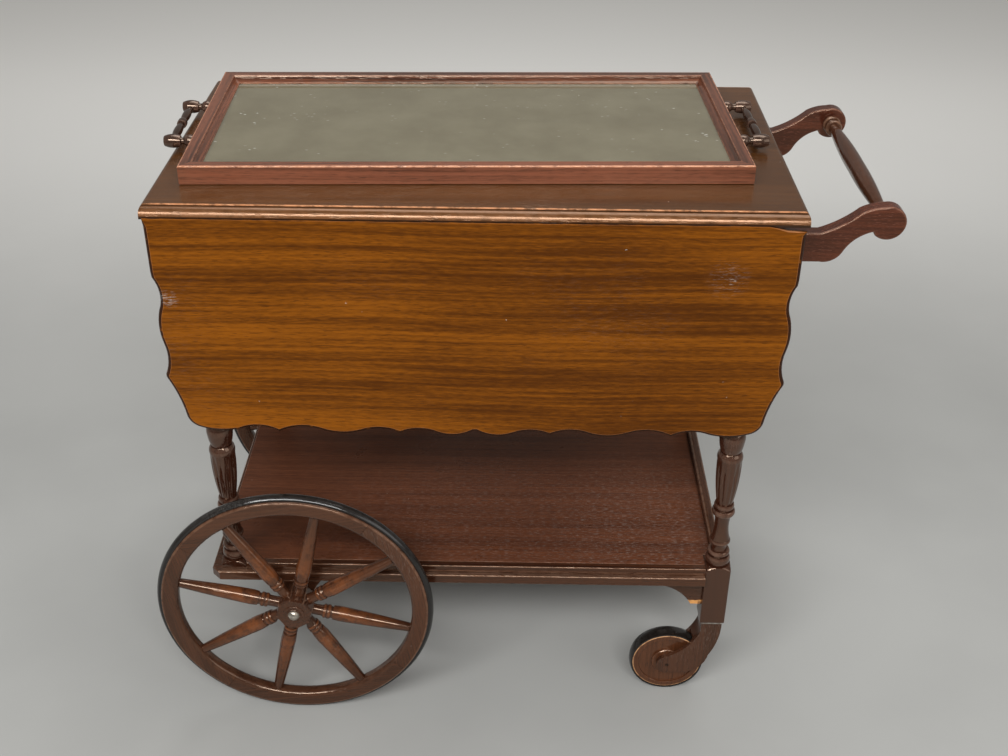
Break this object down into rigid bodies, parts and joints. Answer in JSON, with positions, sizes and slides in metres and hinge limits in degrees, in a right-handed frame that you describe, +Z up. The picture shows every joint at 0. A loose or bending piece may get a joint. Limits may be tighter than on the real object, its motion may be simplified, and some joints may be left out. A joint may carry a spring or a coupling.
{
  "type": "drop leaf tea trolley",
  "caption": "Wooden tea trolley with hanging scalloped leaves, turned legs, a lower shelf, large spoked wheels, swivel casters, a push handle and a loose glazed tray.",
  "frame": {"origin": "on the floor, under the middle of the overall box", "axes": "+X along the length towards the push handle, -Y towards the front, +Z up"},
  "size_m": [0.8614, 0.4928, 0.7247],
  "materials": {
    "leaf_mahogany": "satin varnish",
    "top_mahogany": "worn satin varnish",
    "dark_mahogany": "satin varnish",
    "tray_mahogany": "satin varnish",
    "tray_board": "matt paper lining",
    "tray_pane": "clear",
    "tyre_rubber": "matt",
    "hinge_brass": "dull",
    "bare_steel": "dull",
    "cap_nickel": "polished"
  },
  "bodies": {
    "frame": {"top_board": "top_mahogany", "hinge_fixed_plates": "hinge_brass", "hinge_pins": "hinge_brass", "caster_sockets": "bare_steel", "wheel_axle": "bare_steel", "shelf_base": "dark_mahogany", "shelf_panel": "dark_mahogany", "shelf_lips": "dark_mahogany", "shelf_end_rail": "dark_mahogany", "handle_rail": "dark_mahogany", "apron_front": "dark_mahogany", "apron_back": "dark_mahogany", "apron_left": "dark_mahogany", "apron_right": "dark_mahogany", "leg_front_left": "dark_mahogany", "leg_front_right": "dark_mahogany", "bracket_front": "dark_mahogany", "axle_bearer_front": "dark_mahogany", "handle_arm_front": "dark_mahogany", "leg_back_left": "dark_mahogany", "leg_back_right": "dark_mahogany", "bracket_back": "dark_mahogany", "axle_bearer_back": "dark_mahogany", "handle_arm_back": "dark_mahogany"},
    "front_leaf": {"leaf_front": "leaf_mahogany", "leaf_hinge_plates_front": "hinge_brass"},
    "front_prop": {"prop_rod_front": "dark_mahogany", "prop_arms_front": "dark_mahogany"},
    "front_wheel": {"wheel_rim_front": "dark_mahogany", "wheel_tyre_front": "tyre_rubber", "wheel_hub_front": "dark_mahogany", "wheel_spokes_front": "dark_mahogany", "hub_cap_front": "cap_nickel"},
    "front_caster": {"caster_horn_front": "dark_mahogany", "caster_pivot_front": "bare_steel", "caster_axle_front": "bare_steel"},
    "front_caster_wheel": {"caster_wheel_front": "dark_mahogany", "caster_tyre_front": "tyre_rubber"},
    "back_leaf": {"leaf_back": "leaf_mahogany", "leaf_hinge_plates_back": "hinge_brass"},
    "back_prop": {"prop_rod_back": "dark_mahogany", "prop_arms_back": "dark_mahogany"},
    "back_wheel": {"wheel_rim_back": "dark_mahogany", "wheel_tyre_back": "tyre_rubber", "wheel_hub_back": "dark_mahogany", "wheel_spokes_back": "dark_mahogany", "hub_cap_back": "cap_nickel"},
    "back_caster": {"caster_horn_back": "dark_mahogany", "caster_pivot_back": "bare_steel", "caster_axle_back": "bare_steel"},
    "back_caster_wheel": {"caster_wheel_back": "dark_mahogany", "caster_tyre_back": "tyre_rubber"},
    "tray": {"tray_frame": "tray_mahogany", "tray_base": "tray_board", "tray_glass": "tray_pane", "tray_handle_left": "tray_mahogany", "tray_handle_right": "tray_mahogany"}
  },
  "joints": [
    {"name": "front_leaf_hinge", "type": "hinge", "parent": "frame", "child": "front_leaf", "pos_m": [-0.0347, -0.196, 0.691], "axis": [-1, 0, 0], "range_deg": [0, 90]},
    {"name": "front_prop_swing", "type": "hinge", "parent": "frame", "child": "front_prop", "pos_m": [-0.0347, -0.176, 0.583], "axis": [-1, 0, 0], "range_deg": [0, 135]},
    {"name": "front_wheel_spin", "type": "hinge", "parent": "frame", "child": "front_wheel", "pos_m": [-0.2587, -0.222, 0.172], "axis": [0, 1, 0], "continuous": true},
    {"name": "front_caster_swivel", "type": "hinge", "parent": "frame", "child": "front_caster", "pos_m": [0.2688, -0.176, 0.122], "axis": [0, 0, 1], "continuous": true},
    {"name": "front_caster_roll", "type": "hinge", "parent": "front_caster", "child": "front_caster_wheel", "pos_m": [0.2168, -0.176, 0.049], "axis": [0, 1, 0], "continuous": true},
    {"name": "back_leaf_hinge", "type": "hinge", "parent": "frame", "child": "back_leaf", "pos_m": [-0.0347, 0.196, 0.691], "axis": [1, 0, 0], "range_deg": [0, 90]},
    {"name": "back_prop_swing", "type": "hinge", "parent": "frame", "child": "back_prop", "pos_m": [-0.0347, 0.176, 0.583], "axis": [1, 0, 0], "range_deg": [0, 135]},
    {"name": "back_wheel_spin", "type": "hinge", "parent": "frame", "child": "back_wheel", "pos_m": [-0.2587, 0.222, 0.172], "axis": [0, 1, 0], "continuous": true},
    {"name": "back_caster_swivel", "type": "hinge", "parent": "frame", "child": "back_caster", "pos_m": [0.2688, 0.176, 0.122], "axis": [0, 0, 1], "continuous": true},
    {"name": "back_caster_roll", "type": "hinge", "parent": "back_caster", "child": "back_caster_wheel", "pos_m": [0.2168, 0.176, 0.049], "axis": [0, 1, 0], "continuous": true},
    {"name": "tray_lift", "type": "slide", "parent": "frame", "child": "tray", "axis": [0, 0, 1], "range_m": [0, 0.25]}
  ],
  "couplings": [
    {"joint": "front_prop_swing", "follows": "front_leaf_hinge", "ratio": 1.5},
    {"joint": "back_prop_swing", "follows": "back_leaf_hinge", "ratio": 1.5}
  ]
}
